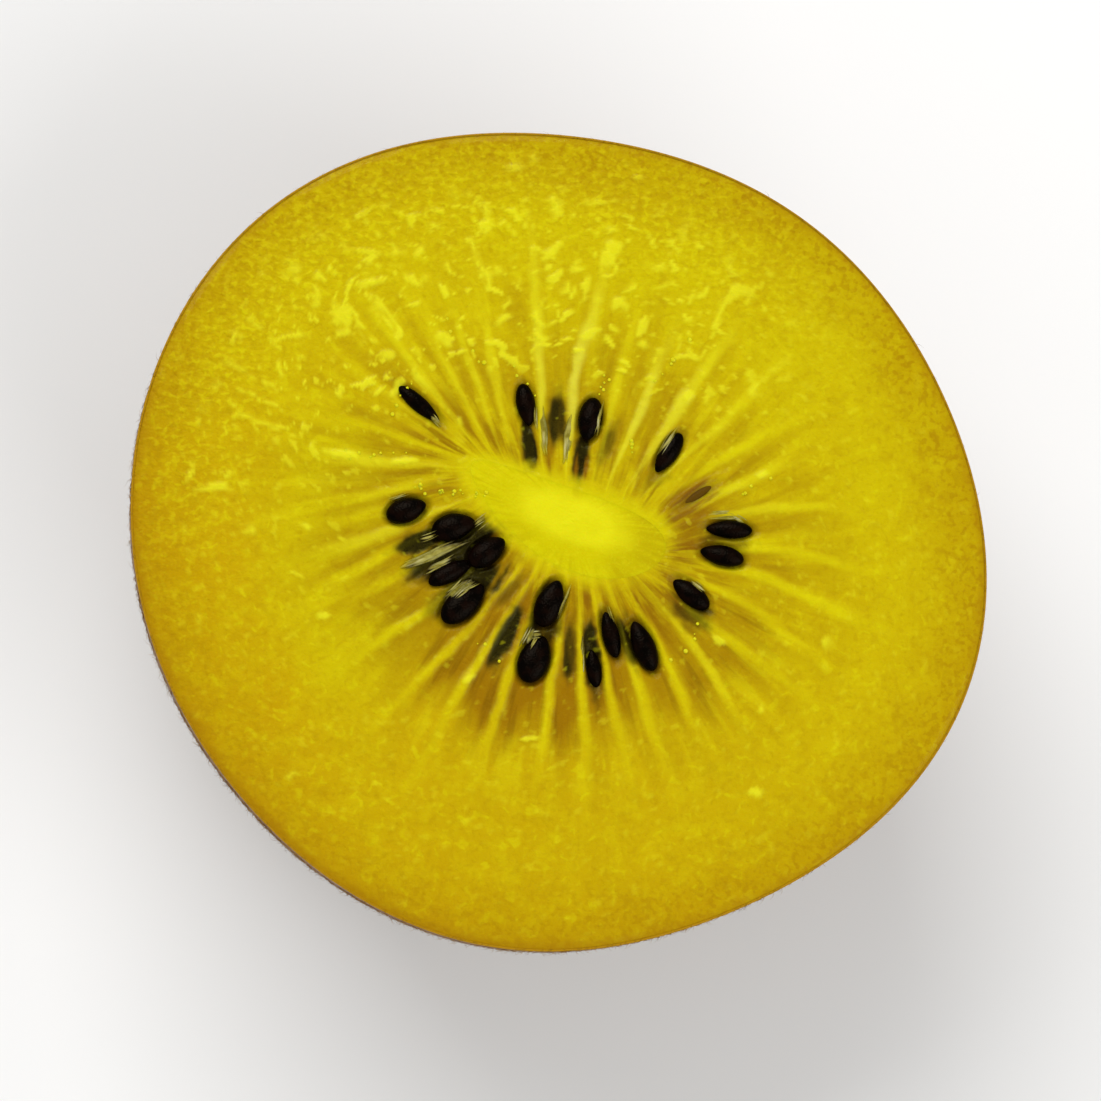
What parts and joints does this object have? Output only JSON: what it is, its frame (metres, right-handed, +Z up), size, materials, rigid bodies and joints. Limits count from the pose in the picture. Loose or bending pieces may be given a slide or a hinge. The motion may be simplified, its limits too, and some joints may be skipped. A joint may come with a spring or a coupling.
{
  "type": "golden kiwi fruit half",
  "caption": "Half of a golden kiwi fruit, cut across and lying on its stem end: a thin brown skin round golden flesh with pale rays and dark seeds about a pale core, the cut face up.",
  "frame": {"origin": "middle of the footprint of the half fruit, at the level of the flat spot it rests on", "axes": "+Z up out of the cut face, along the fruit's own axis from stem end to cut; +X along the wider side of the cut oval, to the right in the picture; +Y away from the viewer"},
  "size_m": [0.052, 0.0498, 0.0305],
  "materials": {
    "skin": "dry bronze-brown peel with pale specks and short golden fuzz",
    "flesh": "moist translucent golden flesh, fine grain, pale radial rays",
    "core": "moist smooth pale yellow core",
    "seed": "glossy purple-black seed coat"
  },
  "bodies": {
    "root": {"skin": "skin", "flesh": "flesh", "core": "core"}
  },
  "joints": []
}
